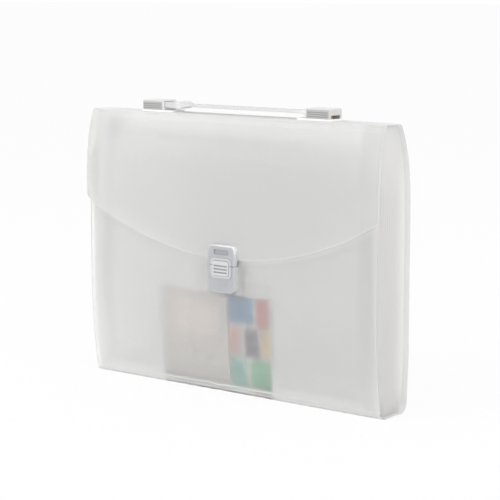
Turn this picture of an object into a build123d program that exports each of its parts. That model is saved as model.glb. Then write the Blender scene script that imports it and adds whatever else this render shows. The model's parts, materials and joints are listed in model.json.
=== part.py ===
from build123d import *
import math
import os

# Sizes are in millimetres. X runs across the file, Y from its front to its back, Z up from the table.

# The case
case_width = 330.0
case_height = 250.0
case_depth = 49.0
cover_sheet = 0.8
strip_depth = 22.4
fit = 0.3

# The covers' curves: both swell out below the top strip and lean in above the foot
bow_drop = 85.0
flap_bow_power = 3.6
back_bow_power = 3.0
front_foot_lean = 7.0
front_lean_start = 92.0
lean_power = 2.0
back_foot_lean = 2.4
back_lean_start = 48.0
back_lean_radius = 300.0
back_straight_start = 70.0
bow_steps = 4
foot_radius_back = 9.0
foot_radius_front = 5.0
front_crease_height = 5.2
front_foot_run = 5.7

# Flap and front panel
flap_lift = 2.0
flap_low = 123.5
flap_side = 168.0
flap_corner = 6.0
front_inset = 2.5
front_drop = 35.0
front_corner = 8.0

# Bellows and dividers
pocket_count = 13
pleat_sheet = 2.8
pleat_depth = 12.0
bellows_inset = 4.0
bellows_foot = 1.3
foot_lift = 3.4
foot_lift_power = 4
foot_margin_front = 2.4
foot_margin_back = 2.4
bellows_drop = 5.0
bellows_knee = 24.0
bellows_shoulder_drop = 50.0
bellows_neck_drop = 24.0
divider_sheet = 0.4
divider_drop = 26.0
tab_width = 26.0
tab_height = 9.0
tab_corner = 3.0
tab_margin = 12.0

# Papers in the front pocket
paper_sheet = 0.3
paper_rise = 1.1
leaflet_left = -76.0
leaflet_width = 75.0
leaflet_top = 91.0
label_sheet_left = 0.5
label_sheet_width = 48.0
label_sheet_top = 90.0

# Handle
bracket_mouth = 81.2
bracket_length = 23.8
bracket_width = 20.0
bracket_height = 8.9
bracket_wall = 1.2
bracket_edge = 1.6
bracket_groove = 0.4
bracket_groove_width = 0.7
groove_count = 3
bracket_slot_width = 13.0
bracket_slot_height = 3.2
base_plate_sheet = 1.5
base_plate_tongue = 11.0
base_plate_heel = 1.4
base_plate_corner = 2.0
inner_plate_sheet = 1.2
inner_plate_width = 16.0
inner_plate_margin = 3.0
rivet_radius = 2.2
rivet_head_radius = 4.6
rivet_rim_radius = 3.4
rivet_head_height = 2.0
rivet_foot_height = 1.0
rivet_inset = 7.0
rivet_clearance = 0.05
strap_width = 15.0
strap_thickness = 2.4
strap_height = 5.3
strap_flare = 8.6
strap_shoulder_width = 17.6
strap_shoulder_thickness = 6.7
strap_neck_width = 14.4
strap_neck_thickness = 4.8
strap_head_width = 16.8
strap_head_length = 4.0
strap_slack = 8.3
strap_edge = 0.6

# Latch
latch_width = 31.0
latch_proud = 3.6
latch_split = 118.2
latch_top = 136.4
latch_low = 93.4
latch_belly = 1.4
latch_corner = 5.0
latch_wall = 1.4
latch_gap = 0.4
ring_proud = 0.8
ring_width = 2.0
button_proud = 0.4
button_width = 18.4
button_low = 109.0
button_top = 122.4
button_corner = 2.2
button_travel = 1.5
button_flange = 1.2
button_flange_sheet = 1.0
button_rib_count = 4
button_groove_width = 1.3
button_groove_depth = 0.7
button_groove_margin = 1.6
recess_width = 17.0
recess_height = 4.5
recess_drop = 4.2
recess_depth = 0.9
striker_width = 8.0
striker_height = 2.4
catch_rib_count = 5
catch_rib_pitch = 1.6
catch_rib_width = 12.0
catch_rib_proud = 0.25
back_plate_sheet = 0.9
back_plate_margin = 2.0
post_radius = 1.5
post_clearance = 0.05
post_inset = 4.6
spring_sheet = 0.2
spring_width = 5.0
spring_length = 12.0
spring_margin = 0.02

# Places worked out from the sizes
total_depth = case_depth + latch_proud + ring_proud + button_proud
back_face = total_depth / 2
flap_face = back_face - case_depth
half_sheet = cover_sheet / 2
bow_start = case_height - bow_drop
front_top = case_height - front_drop
bellows_top = case_height - bellows_drop
divider_top = case_height - divider_drop
crease_top = case_height - half_sheet
rear_crease = strip_depth / 2
front_crease = -strip_depth / 2
crease_gap = half_sheet + fit
front_width = case_width - 2 * front_inset
bellows_edge = case_width / 2 - bellows_inset
fold_count = 2 * pocket_count
bellows_floor = bellows_foot + pleat_depth
divider_half_width = bellows_edge - pleat_depth - fit


def rise(value, start, end, power):
    """Nothing up to the start, then growing to one at the end."""
    return max(0.0, (value - start) / (end - start)) ** power


def back_line(z):
    """How far back the middle of the back panel's sheet lies at a height."""
    straight = back_face - half_sheet
    bow = (straight - rear_crease) * rise(z, bow_start, crease_top, back_bow_power)
    lean = back_foot_lean * rise(-z, -back_lean_start, 0.0, 1)
    return straight - bow - lean


def flap_line(z):
    """The middle of the flap's sheet at a height."""
    straight = flap_face + half_sheet
    return straight + (front_crease - straight) * rise(z, bow_start, crease_top, flap_bow_power)


def front_line(z):
    """The middle of the front panel's sheet at a height: the flap's line, behind it, with a lean at the foot."""
    lean = front_foot_lean * rise(-z, -front_lean_start, -front_crease_height, lean_power)
    return flap_line(z) + flap_lift + lean


front_hinge = (front_line(front_crease_height), front_crease_height)
foot_front = front_hinge[0] + front_foot_run
front_face = flap_face + flap_lift
latch_face = flap_face - latch_proud


def steps(start, end, count):
    """Evenly spaced heights from the start to the end, both included."""
    return [start + (end - start) * i / count for i in range(count + 1)]


def smooth_line(points, heading):
    """Arcs that run on into each other through the points."""
    with BuildLine() as line:
        for start, end in zip(points, points[1:]):
            arc = TangentArc(start, end, tangent=heading)
            heading = arc % 1
    return line.line


# The bellows lies between two lines just inside the covers, and its folds share the space evenly
bellows_heights = [
    bellows_knee,
    front_lean_start,
    bow_start,
    case_height - bellows_shoulder_drop,
    case_height - bellows_neck_drop,
    bellows_top,
]


def fold_line(share, z):
    """Where a fold lies from back (share 0) to front (share 1) at a height."""
    back = back_line(z) - half_sheet - fit
    front = front_line(z) + half_sheet + fit
    return back + share * (front - back)


def lift(share):
    """How much higher a fold runs on the floor, where the covers' foot curves up at front and back."""
    return foot_lift * abs(2 * share - 1) ** foot_lift_power


def foot_fold_line(share, deep):
    """The same under the pockets, at a depth in from the outer folds."""
    back = back_line(0.0) - foot_margin_back
    front = front_hinge[0] + foot_margin_front
    foot = back + share * (front - back)
    high = fold_line(share, bellows_floor + lift(share))
    return foot + (high - foot) * deep / pleat_depth


def pocket_line(share, z):
    """A pocket's middle or a divider's line at any height."""
    deep = z - bellows_foot - lift(share)
    return foot_fold_line(share, deep) if deep < pleat_depth else fold_line(share, z)


def pleat_outline(across, place):
    """The closed zigzag of one section: the outer face's folds, then the inner face's, back again."""
    outer = []
    inner = []
    for fold in range(fold_count + 1):
        deep = pleat_depth - pleat_sheet if fold % 2 == 0 else 0.0
        share = fold / fold_count
        outer.append((across(share, deep), place(share, deep)))
        inner.append((across(share, deep + pleat_sheet), place(share, deep + pleat_sheet)))
    return outer + inner[::-1]


# Back panel: the back cover, the foot that it turns round, the bottom strip and the front foot
with BuildPart() as back_panel:
    with BuildSketch(Plane.YZ):
        with BuildLine():
            bow_heights = steps(bow_start, crease_top - crease_gap, bow_steps)
            add(smooth_line([(back_line(z), z) for z in bow_heights], (0, 1)))
            Line((back_line(back_straight_start), back_straight_start), (back_line(bow_start), bow_start))
            FilletPolyline(
                (back_line(back_straight_start), back_straight_start),
                (back_line(back_lean_start), back_lean_start),
                (back_line(0.0), half_sheet),
                (foot_front, half_sheet),
                (front_hinge[0] + crease_gap * math.sin(math.pi / 4), front_hinge[1] - crease_gap),
                radius=[back_lean_radius, foot_radius_back, foot_radius_front],
            )
        trace(line_width=cover_sheet)
    extrude(amount=case_width / 2, both=True)
back_panel.part.label = "back_panel"


# Front panel: a curved sheet that turns on a rounded bead at the front foot's crease
def latch_post_places(height):
    """The two posts that hold a latch half, one each side of the middle."""
    side = latch_width / 2 - post_inset
    return [(-side, height), (side, height)]


post_height_low = latch_low + post_inset
post_height_high = latch_top - post_inset

with BuildPart() as front_panel:
    with BuildSketch(Plane.YZ):
        with BuildLine():
            foot_heights = steps(front_lean_start, front_crease_height, bow_steps)
            add(smooth_line([(front_line(z), z) for z in foot_heights], (0, -1)))
            head_heights = steps(bow_start, front_top, bow_steps)
            add(smooth_line([(front_line(z), z) for z in head_heights], (0, 1)))
            Line((front_line(front_lean_start), front_lean_start), (front_line(bow_start), bow_start))
        trace(line_width=cover_sheet)
        with Locations(front_hinge):
            Circle(half_sheet)
    extrude(amount=front_width / 2, both=True)
    with BuildSketch(Plane.XZ):
        with Locations((0, front_top / 2)):
            Rectangle(front_width, front_top + cover_sheet)
        fillet(vertices().group_by(Axis.Y)[-1], front_corner)
        with Locations(*latch_post_places(post_height_low)):
            Circle(post_radius + post_clearance, mode=Mode.SUBTRACT)
    extrude(amount=case_depth, both=True, mode=Mode.INTERSECT)
front_panel.part.label = "front_panel"


# Top strip: the flat strip between the two top creases, rounded at the rear one
plate_inner = bracket_mouth - base_plate_tongue
plate_outer = bracket_mouth + bracket_length + base_plate_heel
bracket_middle = bracket_mouth + bracket_length / 2
rivet_place = bracket_mouth + bracket_length - rivet_inset
rivet_places = [(-rivet_place, 0), (rivet_place, 0)]

with BuildPart() as top_strip:
    with BuildSketch(Plane.YZ):
        with BuildLine():
            Line((rear_crease, crease_top), (front_crease + crease_gap, crease_top))
        trace(line_width=cover_sheet)
        with Locations((rear_crease, crease_top)):
            Circle(half_sheet)
    extrude(amount=case_width / 2, both=True)
    with BuildSketch(Plane.XY.offset(crease_top)):
        with Locations(*rivet_places):
            Circle(rivet_radius + rivet_clearance)
    extrude(amount=cover_sheet, both=True, mode=Mode.SUBTRACT)
top_strip.part.label = "top_strip"


# Flap: hangs from the front crease and ends in one shallow arc
with BuildPart() as flap_panel:
    with BuildSketch(Plane.YZ):
        with BuildLine():
            head_heights = steps(bow_start, crease_top, bow_steps)
            add(smooth_line([(flap_line(z), z) for z in head_heights], (0, 1)))
            Line((flap_line(flap_low), flap_low - cover_sheet), (flap_line(bow_start), bow_start))
        trace(line_width=cover_sheet)
        with Locations((front_crease, crease_top)):
            Circle(half_sheet)
    extrude(amount=case_width / 2, both=True)
    with BuildSketch(Plane.XZ):
        with BuildLine():
            rim = ThreePointArc(
                (-case_width / 2, flap_side), (0, flap_low), (case_width / 2, flap_side)
            )
            Polyline(
                rim @ 1,
                (case_width / 2, case_height + cover_sheet),
                (-case_width / 2, case_height + cover_sheet),
                rim @ 0,
            )
        make_face()
        fillet(vertices().group_by(Axis.Y)[0], flap_corner)
        with Locations(*latch_post_places(post_height_high)):
            Circle(post_radius + post_clearance, mode=Mode.SUBTRACT)
    extrude(amount=case_depth, both=True, mode=Mode.INTERSECT)
flap_panel.part.label = "flap_panel"


# Bellows: one pleated strip down one side, under the pockets and up the other
with BuildPart() as bellows:
    for side in (-1, 1):
        heights = bellows_heights[::-1] if side < 0 else bellows_heights
        foot_plane = Plane(
            origin=(side * bellows_edge, 0, bellows_foot), x_dir=(-side, 0, 1), z_dir=(-1, 0, -side)
        )
        rising = foot_plane.y_dir.Y
        if side > 0:
            with BuildSketch(foot_plane):
                with BuildLine():
                    Polyline(
                        *pleat_outline(
                            lambda share, deep: (deep + lift(share)) * math.sqrt(2),
                            lambda share, deep: rising * foot_fold_line(share, deep),
                        ),
                        close=True,
                    )
                make_face()
        for z in heights:
            with BuildSketch(Plane.XY.offset(z)):
                with BuildLine():
                    Polyline(
                        *pleat_outline(
                            lambda share, deep: side * (bellows_edge - deep),
                            lambda share, deep: fold_line(share, z),
                        ),
                        close=True,
                    )
                make_face()
        if side < 0:
            with BuildSketch(foot_plane):
                with BuildLine():
                    Polyline(
                        *pleat_outline(
                            lambda share, deep: (deep + lift(share)) * math.sqrt(2),
                            lambda share, deep: rising * foot_fold_line(share, deep),
                        ),
                        close=True,
                    )
                make_face()
    loft(ruled=True)
bellows.part.label = "bellows"


# Dividers: each stands on an inner fold of the bellows and carries an index tab of its own place
def sheet_outline(share, thickness, foot, top):
    """The closed side view of a sheet that follows the folds at one share of the depth."""
    bend = bellows_floor + lift(share)
    heights = [foot] + [z for z in [bend] + bellows_heights if foot < z < top] + [top]
    front = [(pocket_line(share, z) - thickness / 2, z) for z in heights]
    back = [(pocket_line(share, z) + thickness / 2, z) for z in heights]
    return front + back[::-1]


tab_run = 2 * (divider_half_width - tab_margin) - tab_width
dividers = []
for number in range(1, pocket_count):
    tab_place = -tab_run / 2 + tab_run * (number - 1) / (pocket_count - 2)
    share = number / pocket_count
    foot_corner = (divider_half_width - lift(share), bellows_floor + lift(share))
    foot = foot_corner[1] + fit
    with BuildPart() as divider:
        with BuildSketch(Plane.YZ):
            with BuildLine():
                Polyline(
                    *sheet_outline(share, divider_sheet, foot, divider_top + tab_height),
                    close=True,
                )
            make_face()
        extrude(amount=divider_half_width, both=True)
        with BuildSketch(Plane.XZ):
            with BuildLine():
                Polyline((0, 0), (foot_corner[0], 0), foot_corner, (divider_half_width, bellows_knee))
                Polyline((divider_half_width, bellows_knee), (divider_half_width, divider_top), (0, divider_top))
                mirror(about=Plane.YZ)
            make_face()
            with Locations((tab_place, divider_top)):
                RectangleRounded(tab_width, 2 * tab_height, tab_corner)
        extrude(amount=case_depth, both=True, mode=Mode.INTERSECT)
    divider.part.label = f"divider_{number:02d}"
    dividers.append(divider.part)


# Papers that stand in the front pocket: a folded leaflet and the sheet of index labels
def front_pocket_paper(name, share, left, width, top):
    """One sheet between the last divider and the front panel, down in the fold of the pocket."""
    foot = bellows_foot + lift(share) + pleat_sheet + paper_rise
    with BuildPart() as paper:
        with BuildSketch(Plane.YZ.offset(left)):
            with BuildLine():
                Polyline(*sheet_outline(share, paper_sheet, foot, top), close=True)
            make_face()
        extrude(amount=width)
    paper.part.label = name
    return paper.part


front_pocket = (pocket_count - 0.5) / pocket_count
leaflet = front_pocket_paper("leaflet", front_pocket, leaflet_left, leaflet_width, leaflet_top)
index_label_sheet = front_pocket_paper(
    "index_label_sheet", front_pocket, label_sheet_left, label_sheet_width, label_sheet_top
)


# Handle mount: base plate and bracket above the strip, backing plate below it
with BuildPart() as base_plate_right:
    with BuildSketch(Plane.XY.offset(case_height)):
        with Locations(((plate_inner + plate_outer) / 2, 0)):
            RectangleRounded(plate_outer - plate_inner, bracket_width, base_plate_corner)
        with Locations(*rivet_places):
            Circle(rivet_radius + rivet_clearance, mode=Mode.SUBTRACT)
    extrude(amount=base_plate_sheet)
base_plate_right.part.label = "base_plate_right"

bracket_floor = case_height + base_plate_sheet
strap_middle = case_height + strap_height + strap_thickness / 2
mouth_width = strap_neck_width + 2 * fit
mouth_low = strap_middle - strap_neck_thickness / 2 - fit
mouth_high = strap_middle + strap_neck_thickness / 2 + fit

with BuildPart() as bracket_right:
    with BuildSketch(Plane.YZ.offset(bracket_mouth)):
        with Locations((0, bracket_floor + bracket_height / 2)):
            Rectangle(bracket_width, bracket_height)
        fillet(vertices().group_by(Axis.Y)[-1], bracket_edge)
    extrude(amount=bracket_length)
    fillet(faces().sort_by(Axis.X)[-1].edges().group_by(Axis.Z)[-1], bracket_edge)
    with BuildSketch(Plane.YZ.offset(bracket_mouth + bracket_wall)):
        with Locations((0, bracket_floor + (bracket_height - bracket_wall) / 2)):
            Rectangle(bracket_width - 2 * bracket_wall, bracket_height - bracket_wall)
    extrude(amount=bracket_length - 2 * bracket_wall, mode=Mode.SUBTRACT)
    with BuildSketch(Plane.YZ.offset(bracket_mouth)):
        with Locations((0, (mouth_low + mouth_high) / 2)):
            Rectangle(mouth_width, mouth_high - mouth_low)
    extrude(amount=bracket_wall, mode=Mode.SUBTRACT)
    for side in (-1, 1):
        with BuildSketch(Plane.XZ.offset(side * bracket_width / 2)):
            for groove in range(1, groove_count + 1):
                height = bracket_floor + (bracket_height - bracket_edge) * groove / (groove_count + 1)
                with Locations((bracket_middle, height)):
                    Rectangle(bracket_length - 2 * bracket_wall, bracket_groove_width)
        extrude(amount=-side * bracket_groove, mode=Mode.SUBTRACT)
    with BuildSketch(Plane.YZ.offset(bracket_mouth + bracket_length - bracket_wall)):
        with Locations((0, bracket_floor)):
            Rectangle(bracket_slot_width, 2 * bracket_slot_height)
    extrude(amount=bracket_wall, mode=Mode.SUBTRACT)
bracket_right.part.label = "bracket_right"

with BuildPart() as inner_plate_right:
    with BuildSketch(Plane.XY.offset(case_height - cover_sheet)):
        with Locations((bracket_middle, 0)):
            Rectangle(bracket_length - inner_plate_margin, inner_plate_width)
        with Locations(*rivet_places):
            Circle(rivet_radius + rivet_clearance, mode=Mode.SUBTRACT)
    extrude(amount=-inner_plate_sheet)
inner_plate_right.part.label = "inner_plate_right"


def mirrored(piece, name):
    """The left-hand twin of a right-hand piece."""
    with BuildPart() as twin:
        mirror(piece, about=Plane.YZ)
    twin.part.label = name
    return twin.part


base_plate_left = mirrored(base_plate_right.part, "base_plate_left")
bracket_left = mirrored(bracket_right.part, "bracket_left")
inner_plate_left = mirrored(inner_plate_right.part, "inner_plate_left")

# Rivets: a head on the base plate, a shank through the strip and a head under the inner plate
rivet_low = case_height - cover_sheet - inner_plate_sheet
with BuildPart() as handle_rivets:
    with BuildSketch(Plane.XZ):
        with BuildLine():
            Polyline(
                (rivet_place, bracket_floor + rivet_head_height),
                (rivet_place + rivet_rim_radius, bracket_floor + rivet_head_height),
                (rivet_place + rivet_head_radius, bracket_floor),
                (rivet_place + rivet_radius, bracket_floor),
                (rivet_place + rivet_radius, rivet_low),
                (rivet_place + rivet_rim_radius, rivet_low),
                (rivet_place + rivet_rim_radius, rivet_low - rivet_foot_height),
                (rivet_place, rivet_low - rivet_foot_height),
                close=True,
            )
        make_face()
    revolve(axis=Axis((rivet_place, 0, 0), (0, 0, 1)))
    mirror(about=Plane.YZ)
handle_rivets.part.label = "handle_rivets"


# Strap: thin between the brackets, flared to a shoulder at each mouth, with a wider head kept inside.
# At rest it is pushed over to the right, so its right shoulder is at the bracket's mouth.
shoulder = bracket_mouth - fit - strap_slack
flare_start = shoulder - strap_flare
neck_end = bracket_mouth + bracket_wall + fit + strap_slack


def strap_view(middle, flat, shoulder_size):
    """One view of the strap: parallel between the flares, which widen to the shoulders."""
    with BuildLine() as view:
        for sign in (-1, 1):
            start = (flare_start, middle + sign * flat / 2)
            end = (shoulder, middle + sign * shoulder_size / 2)
            halfway = ((start[0] + end[0]) / 2, (start[1] + end[1]) / 2)
            Line((0, start[1]), start)
            hollow = TangentArc(start, halfway, tangent=(1, 0))
            TangentArc(halfway, end, tangent=hollow % 1)
        Line((shoulder, middle - shoulder_size / 2), (shoulder, middle + shoulder_size / 2))
        mirror(about=Plane.YZ)
    return view.line


with BuildPart() as handle_strap:
    with BuildSketch(Plane(origin=(strap_slack, 0, 0), x_dir=(1, 0, 0), z_dir=(0, -1, 0))):
        add(strap_view(strap_middle, strap_thickness, strap_shoulder_thickness))
        make_face()
    extrude(amount=bracket_width / 2, both=True)
    with BuildSketch(Plane((strap_slack, 0, strap_middle))):
        add(strap_view(0, strap_width, strap_shoulder_width))
        make_face()
    extrude(amount=bracket_height, both=True, mode=Mode.INTERSECT)
    chamfer(edges().filter_by(Axis.X), strap_edge)
    for side in (-1, 1):
        with BuildSketch(Plane.YZ.offset(strap_slack + side * shoulder)):
            with Locations((0, strap_middle)):
                Rectangle(strap_neck_width, strap_neck_thickness)
        extrude(amount=side * (neck_end - shoulder))
        with BuildSketch(Plane.YZ.offset(strap_slack + side * neck_end)):
            with Locations((0, strap_middle)):
                Rectangle(strap_head_width, strap_neck_thickness)
        extrude(amount=side * strap_head_length)
handle_strap.part.label = "handle_strap"


# Latch: a shell on the flap and a shell on the front panel, with their faces in one plane
split_high = latch_split + latch_gap / 2
split_low = latch_split - latch_gap / 2
button_middle = (button_low + button_top) / 2
ring_inner_width = button_width + 2 * fit
ring_inner_height = button_top - button_low + 2 * fit
front_plane = Plane.XZ.offset(-front_face)
flap_plane = Plane.XZ.offset(-flap_face)
face_plane = Plane.XZ.offset(-latch_face)
post_length = cover_sheet + back_plate_sheet


def upper_outline(shrink):
    """The upper half's front view, square at the split and rounded at the top."""
    with BuildSketch() as outline:
        with Locations((0, (split_high + latch_top) / 2)):
            Rectangle(latch_width - 2 * shrink, latch_top - split_high - 2 * shrink)
        fillet(vertices().group_by(Axis.Y)[-1], latch_corner - shrink)
    return outline.sketch


def lower_outline(shrink):
    """The lower half's front view, square at the split, with a rounded, gently bellied bottom."""
    side = latch_width / 2 - shrink
    low = latch_low + shrink
    with BuildSketch() as outline:
        with BuildLine():
            belly = ThreePointArc((-side, low + latch_belly), (0, low), (side, low + latch_belly))
            Polyline(belly @ 1, (side, split_low - shrink), (-side, split_low - shrink), belly @ 0)
        make_face()
        fillet(vertices().group_by(Axis.Y)[0], latch_corner - shrink)
    return outline.sketch


def ring_outline(low, high):
    """The part of the raised ring round the button that belongs to one latch half."""
    with BuildSketch() as outline:
        with Locations((0, button_middle)):
            RectangleRounded(
                ring_inner_width + 2 * ring_width,
                ring_inner_height + 2 * ring_width,
                button_corner + ring_width,
            )
        with Locations((0, (low + high) / 2)):
            Rectangle(latch_width, high - low, mode=Mode.INTERSECT)
    return outline.sketch


def posts(radius, height):
    """The two posts of a latch half, or the holes for them."""
    with BuildSketch() as outline:
        with Locations(*latch_post_places(height)):
            Circle(radius)
    return outline.sketch


with BuildSketch() as button_window:
    with Locations((0, button_middle)):
        RectangleRounded(ring_inner_width, ring_inner_height, button_corner + fit)

# Upper half, on the flap: a shell with a finger recess, a notch for the button and a striker behind it
with BuildPart() as latch_plate:
    with BuildSketch(flap_plane):
        add(upper_outline(0))
    extrude(amount=latch_proud)
    top_rim = faces().sort_by(Axis.Y)[0].edges().filter_by(lambda e: e.center().Z > split_high + fit)
    fillet(top_rim, latch_wall / 2)
    with BuildSketch(face_plane):
        add(ring_outline(split_high, latch_top))
    extrude(amount=ring_proud)
    with BuildSketch(flap_plane):
        add(upper_outline(latch_wall))
    extrude(amount=latch_proud - latch_wall, mode=Mode.SUBTRACT)
    with BuildSketch(flap_plane):
        add(button_window.sketch)
    extrude(amount=latch_proud + ring_proud, mode=Mode.SUBTRACT)
    with BuildSketch(face_plane):
        with Locations((0, latch_top - recess_drop - recess_height / 2)):
            RectangleRounded(recess_width, recess_height, recess_height / 3)
    extrude(amount=-recess_depth, mode=Mode.SUBTRACT)
    with BuildSketch(flap_plane):
        with Locations((0, button_top + fit + striker_height / 2)):
            Rectangle(striker_width, striker_height)
    extrude(amount=latch_proud - latch_wall)
    with BuildSketch(flap_plane.offset(-post_length)):
        add(posts(post_radius, post_height_high))
    extrude(amount=post_length + latch_proud - latch_wall / 2)
latch_plate.part.label = "latch_plate"

with BuildPart() as latch_back_plate:
    with BuildSketch(flap_plane.offset(-cover_sheet)):
        with Locations((0, post_height_high)):
            Rectangle(latch_width - 2 * back_plate_margin, 2 * (post_inset - post_radius))
        add(posts(post_radius + post_clearance, post_height_high), mode=Mode.SUBTRACT)
    extrude(amount=-back_plate_sheet)
latch_back_plate.part.label = "latch_back_plate"

# Lower half, on the front panel: a shell with the window for the button and a few fine ribs
catch_depth = front_face - latch_face
with BuildPart() as latch_catch:
    with BuildSketch(front_plane):
        add(lower_outline(0))
    extrude(amount=catch_depth)
    low_rim = faces().sort_by(Axis.Y)[0].edges().filter_by(lambda e: e.center().Z < split_low - fit)
    fillet(low_rim, latch_wall / 2)
    with BuildSketch(face_plane):
        add(ring_outline(latch_low, split_low))
    extrude(amount=ring_proud)
    with BuildSketch(face_plane):
        with Locations((0, (latch_low + button_low - ring_width) / 2)):
            with GridLocations(0, catch_rib_pitch, 1, catch_rib_count):
                Rectangle(catch_rib_width, catch_rib_pitch / 2)
    extrude(amount=catch_rib_proud)
    with BuildSketch(front_plane):
        add(lower_outline(latch_wall))
    extrude(amount=catch_depth - latch_wall, mode=Mode.SUBTRACT)
    with BuildSketch(front_plane):
        add(button_window.sketch)
    extrude(amount=catch_depth + ring_proud, mode=Mode.SUBTRACT)
    with BuildSketch(front_plane.offset(-post_length)):
        add(posts(post_radius, post_height_low))
    extrude(amount=post_length + catch_depth - latch_wall / 2)
latch_catch.part.label = "latch_catch"

with BuildPart() as catch_back_plate:
    with BuildSketch(front_plane.offset(-cover_sheet)):
        with Locations((0, post_height_low)):
            Rectangle(latch_width - 2 * back_plate_margin, 2 * (post_inset - post_radius))
        add(posts(post_radius + post_clearance, post_height_low), mode=Mode.SUBTRACT)
    extrude(amount=-back_plate_sheet)
catch_back_plate.part.label = "catch_back_plate"

# Button: a ribbed cap through the window, on a flange that the lower shell's face keeps in
flange_front = catch_depth - latch_wall - fit
flange_back = flange_front - button_flange_sheet
flange_top = split_low - latch_wall - fit
button_face = catch_depth + ring_proud + button_proud
groove_pitch = (button_top - button_low - button_groove_margin) / button_rib_count
with BuildPart() as latch_button:
    with BuildSketch(front_plane.offset(flange_back)):
        with Locations((0, (button_low - button_flange + flange_top) / 2)):
            Rectangle(button_width + 2 * button_flange, flange_top - button_low + button_flange)
    extrude(amount=button_flange_sheet)
    with BuildSketch(front_plane.offset(flange_back)):
        with Locations((0, button_middle)):
            RectangleRounded(button_width, button_top - button_low, button_corner)
    extrude(amount=button_face - flange_back)
    with BuildSketch(front_plane.offset(button_face)):
        for groove in range(1, button_rib_count):
            with Locations((0, button_low + groove_pitch * groove)):
                Rectangle(button_width - 2 * button_groove_margin, button_groove_width)
    extrude(amount=-button_groove_depth, mode=Mode.SUBTRACT)
latch_button.part.label = "latch_button"

# Spring: a bowed leaf with its ends on the front panel and its crown behind the button
spring_low = front_face - spring_margin - spring_sheet / 2
spring_crown = front_face - flange_back + spring_margin + spring_sheet / 2
spring_height = (button_low + flange_top) / 2
with BuildPart() as latch_spring:
    with BuildSketch(Plane.XY.offset(spring_height)):
        with BuildLine():
            ThreePointArc(
                (-spring_length / 2, spring_low), (0, spring_crown), (spring_length / 2, spring_low)
            )
        trace(line_width=spring_sheet)
    extrude(amount=spring_width / 2, both=True)
latch_spring.part.label = "latch_spring"

os.makedirs("parts", exist_ok=True)
pieces = [
    back_panel.part,
    front_panel.part,
    top_strip.part,
    flap_panel.part,
    bellows.part,
    *dividers,
    leaflet,
    index_label_sheet,
    base_plate_right.part,
    base_plate_left,
    bracket_right.part,
    bracket_left,
    inner_plate_right.part,
    inner_plate_left,
    handle_rivets.part,
    handle_strap.part,
    latch_plate.part,
    latch_back_plate.part,
    latch_catch.part,
    catch_back_plate.part,
    latch_button.part,
    latch_spring.part,
]
for piece in pieces:
    export_step(piece, f"parts/{piece.label}.step")
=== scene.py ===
# %% [markdown]
# # An expanding file of frosted plastic
# This lesson dresses a finished CAD model of an expanding file: a case for papers, with a flap that
# closes on a small latch, a pleated bellows that holds the pockets apart, and a strap to carry it by.
# The CAD model is in metres and stays where it is. Pieces whose shape is already right keep their mesh
# and get a better material. The thin films are modelled again here, because a real cover is one sheet
# with soft folds, and the CAD model has separate panels.

import json
import math

import bpy
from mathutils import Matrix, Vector


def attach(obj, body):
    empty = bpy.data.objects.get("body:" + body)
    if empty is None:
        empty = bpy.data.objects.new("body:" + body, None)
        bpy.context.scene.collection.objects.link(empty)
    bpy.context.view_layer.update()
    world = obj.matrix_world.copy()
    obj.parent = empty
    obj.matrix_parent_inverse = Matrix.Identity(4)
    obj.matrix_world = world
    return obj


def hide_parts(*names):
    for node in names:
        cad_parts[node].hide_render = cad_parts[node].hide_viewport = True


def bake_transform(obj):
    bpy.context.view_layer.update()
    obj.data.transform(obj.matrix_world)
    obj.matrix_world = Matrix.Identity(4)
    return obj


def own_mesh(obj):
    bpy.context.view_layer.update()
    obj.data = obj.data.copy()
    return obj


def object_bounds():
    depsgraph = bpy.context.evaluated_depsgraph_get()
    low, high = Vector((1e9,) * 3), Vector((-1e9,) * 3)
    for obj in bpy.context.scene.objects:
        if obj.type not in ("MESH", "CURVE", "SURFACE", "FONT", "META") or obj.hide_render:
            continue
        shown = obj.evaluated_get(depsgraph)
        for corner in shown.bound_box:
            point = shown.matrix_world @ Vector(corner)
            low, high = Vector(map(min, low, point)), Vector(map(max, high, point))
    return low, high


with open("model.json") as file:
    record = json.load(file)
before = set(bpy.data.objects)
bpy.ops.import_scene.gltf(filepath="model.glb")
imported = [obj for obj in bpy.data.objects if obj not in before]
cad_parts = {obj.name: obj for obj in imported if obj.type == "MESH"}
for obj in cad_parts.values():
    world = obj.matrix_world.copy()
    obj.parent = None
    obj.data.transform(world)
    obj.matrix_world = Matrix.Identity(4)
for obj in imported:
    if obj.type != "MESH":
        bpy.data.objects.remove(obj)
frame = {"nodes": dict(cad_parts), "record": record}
cad_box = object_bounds()
nodes = frame["nodes"]
low_corner, high_corner = ([round(v, 4) for v in corner] for corner in cad_box)
print(len(nodes), "CAD nodes, from", low_corner, "to", high_corner)

# %% [markdown]
# ## Camera
# The camera's place came from fitting the silhouette. A long lens from a metre and a half away keeps
# the verticals nearly parallel, as in a catalogue picture. The camera looks along its own -Z axis.
# Angles are in degrees, distances in metres and the lens in millimetres.

# %% Place the camera
AZIMUTH = 38.07
ELEVATION = 8.62
DISTANCE = 1.562
SIDEWAYS = 0.00838
AIM_HEIGHT = 0.12881
AIM_FORWARD = 0.0024
LENS = 125.16


def add_camera():
    """A camera that looks at the middle of the case from the front right."""
    turn, tilt = math.radians(AZIMUTH), math.radians(ELEVATION)
    back = Vector((math.sin(turn) * math.cos(tilt), -math.cos(turn) * math.cos(tilt), math.sin(tilt)))
    right = Vector((math.cos(turn), math.sin(turn), 0))
    aim = right * SIDEWAYS + Vector((0, AIM_FORWARD, AIM_HEIGHT))
    data = bpy.data.cameras.new("camera")
    data.lens = LENS
    data.clip_start = 0.1
    data.clip_end = 100
    camera = bpy.data.objects.new("camera", data)
    camera.location = aim + back * DISTANCE
    camera.rotation_mode = "QUATERNION"
    camera.rotation_quaternion = (-back).to_track_quat("-Z", "Y")
    bpy.context.collection.objects.link(camera)
    bpy.context.scene.camera = camera
    return camera


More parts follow.
